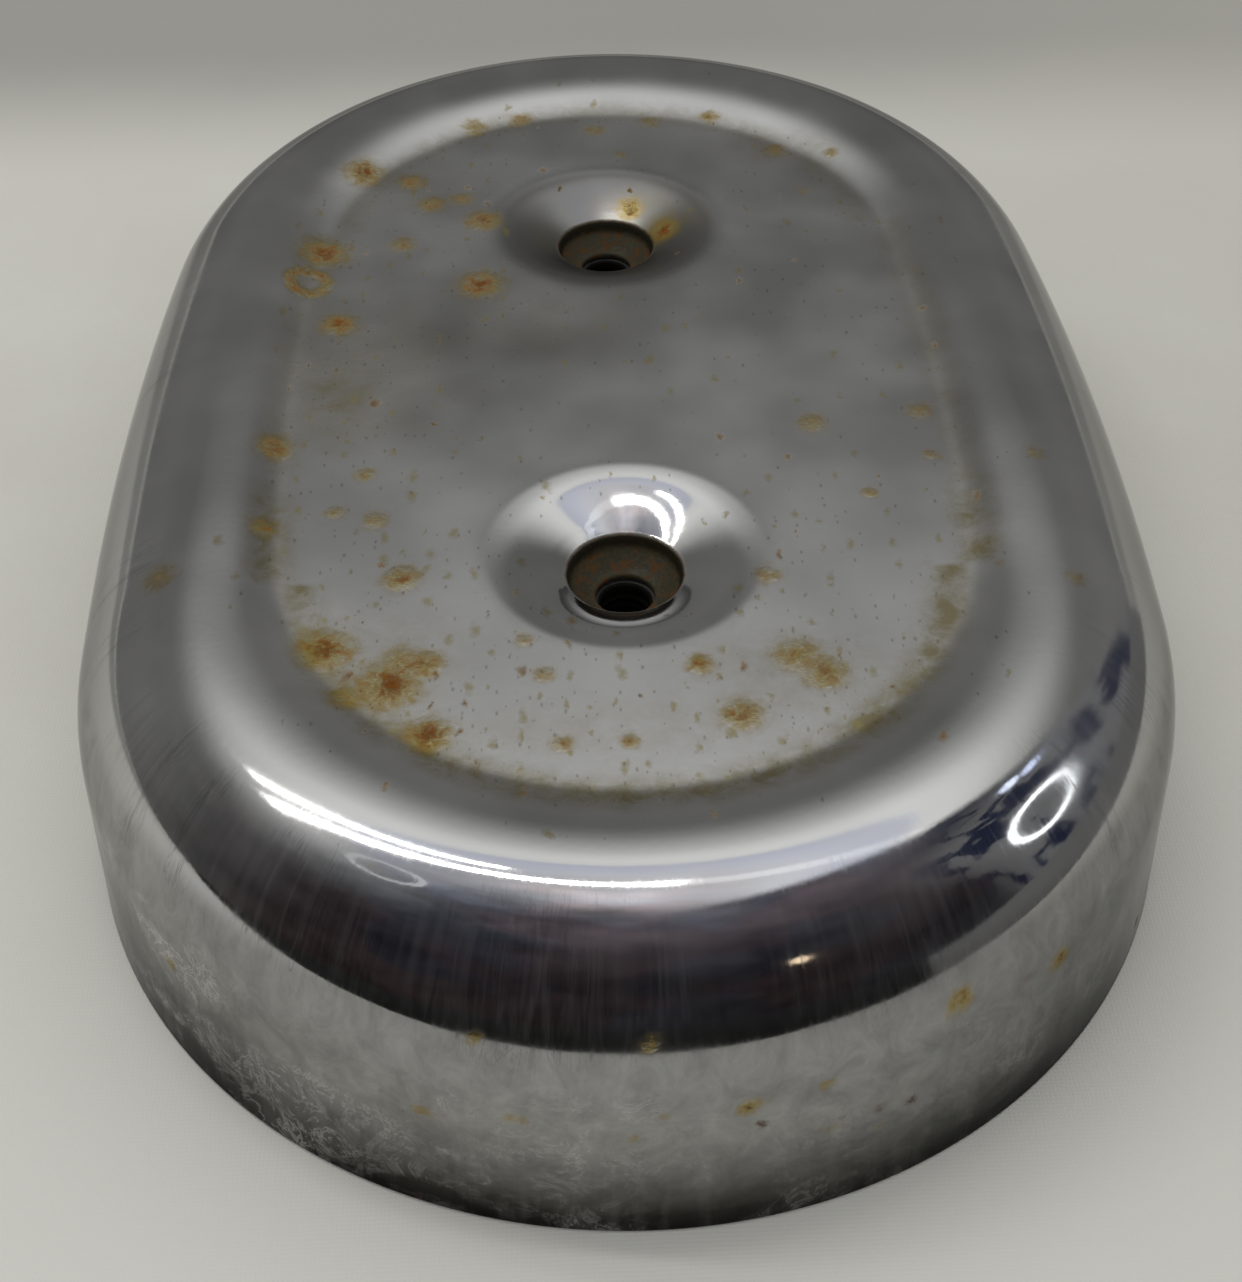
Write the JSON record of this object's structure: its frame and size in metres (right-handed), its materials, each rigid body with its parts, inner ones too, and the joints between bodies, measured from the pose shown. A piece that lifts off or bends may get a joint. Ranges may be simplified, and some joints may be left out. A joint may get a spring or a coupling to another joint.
{
  "type": "oblong motorcycle air cleaner",
  "caption": "Oblong engine air cleaner: chromed pressed cover with sunk panel and countersunk screw seats, over a pleated element, air horn and tray-shaped backing plate.",
  "frame": {"origin": "centre of the footprint, in the plane of the cover's rim, on which the part lies", "axes": "+Z out of the cover's face, away from the engine; +Y along the long axis through both screw holes; +X across"},
  "size_m": [0.157, 0.235, 0.045],
  "materials": {
    "chrome": "aged chrome plate: bright but hazed, with rust freckles and fine pits",
    "plate_paint": "satin black stoving paint, dusty",
    "cast_alloy": "spun and dull",
    "zinc": "zinc plate, dulled",
    "galvanised": "galvanised sheet, spangled",
    "black_rubber": "matt, slightly bloomed",
    "gasket_fibre": "oil-stained compressed fibre",
    "filter_paper": "resin-treated pleated paper, dusty"
  },
  "bodies": {
    "backplate": {"backing_plate": "plate_paint", "intake_horn": "cast_alloy", "carburettor_gasket": "gasket_fibre", "horn_screw_1": "zinc", "horn_screw_2": "zinc", "horn_screw_3": "zinc", "horn_lockwasher_1": "zinc", "horn_lockwasher_2": "zinc", "horn_lockwasher_3": "zinc", "cover_post_front": "zinc", "cover_post_rear": "zinc", "post_nut_front": "zinc", "post_nut_rear": "zinc", "post_lockwasher_front": "zinc", "post_lockwasher_rear": "zinc", "post_seal_front": "black_rubber", "post_seal_rear": "black_rubber", "breather_grommet": "black_rubber", "breather_tube": "zinc"},
    "cover": {"cover_shell": "chrome"},
    "element": {"element_bottom_seal": "black_rubber", "element_bottom_cap": "galvanised", "element_inner_screen": "galvanised", "element_media": "filter_paper", "element_outer_screen": "galvanised", "element_top_cap": "galvanised", "element_top_seal": "black_rubber"}
  },
  "joints": [
    {"name": "cover_lift", "type": "slide", "parent": "backplate", "child": "cover", "axis": [0, 0, 1], "range_m": [0, 0.11]},
    {"name": "element_lift", "type": "slide", "parent": "backplate", "child": "element", "axis": [0, 0, 1], "range_m": [0, 0.05]}
  ],
  "couplings": [
    {"joint": "element_lift", "follows": "cover_lift", "ratio": 0.45}
  ]
}
